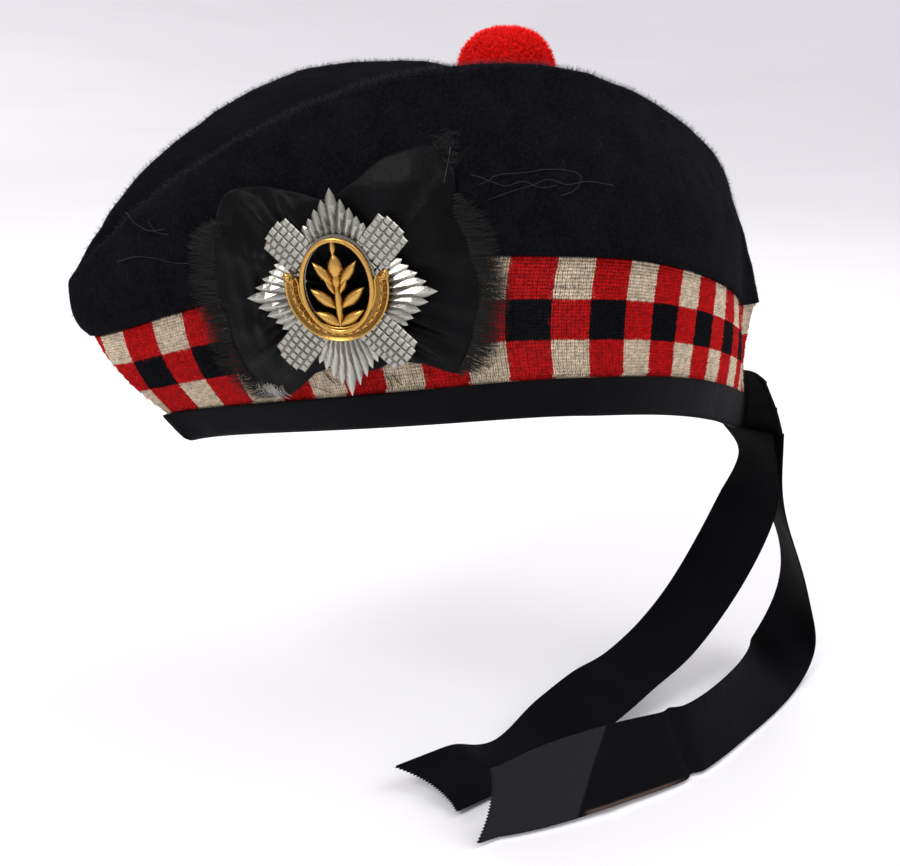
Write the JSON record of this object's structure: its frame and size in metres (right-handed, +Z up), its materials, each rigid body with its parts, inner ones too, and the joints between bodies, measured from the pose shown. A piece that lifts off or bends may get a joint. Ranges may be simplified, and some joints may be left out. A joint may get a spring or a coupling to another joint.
{
  "type": "glengarry",
  "caption": "Boat-shaped milled wool cap with a lengthwise crease, diced knitted band, ribbon binding and tails, rosette, star badge and wool toorie.",
  "frame": {"origin": "centre of the head opening, level with the ends of the rim, where a head holds the cap", "axes": "+Z up out of the wearer's head, bow (front point) towards -Y, back seam and tails towards +Y, wearer's left with the badge towards +X"},
  "size_m": [0.1748, 0.2712, 0.2414],
  "materials": {
    "crown_wool": "milled and brushed wool, near-black navy, matt",
    "knitted_band": "knitted wool in red, off-white and black squares",
    "binding_ribbon": "ribbed black ribbon, folded over the edge",
    "rosette_silk": "gathered black ribbed silk with frayed ends",
    "badge_white_metal": "struck white metal, polished high points",
    "badge_gilt": "gilt brass, openwork",
    "toorie_wool": "clipped scarlet wool pile",
    "tail_ribbon": "black petersham ribbon, pinked ends"
  },
  "bodies": {
    "root": {"crown": "crown_wool", "diced_band": "knitted_band", "binding": "binding_ribbon", "rosette": "rosette_silk", "badge_star": "badge_white_metal", "badge_centre": "badge_gilt", "toorie": "toorie_wool", "ribbon_fold": "tail_ribbon", "tail_left": "tail_ribbon", "tail_right": "tail_ribbon"}
  },
  "joints": []
}
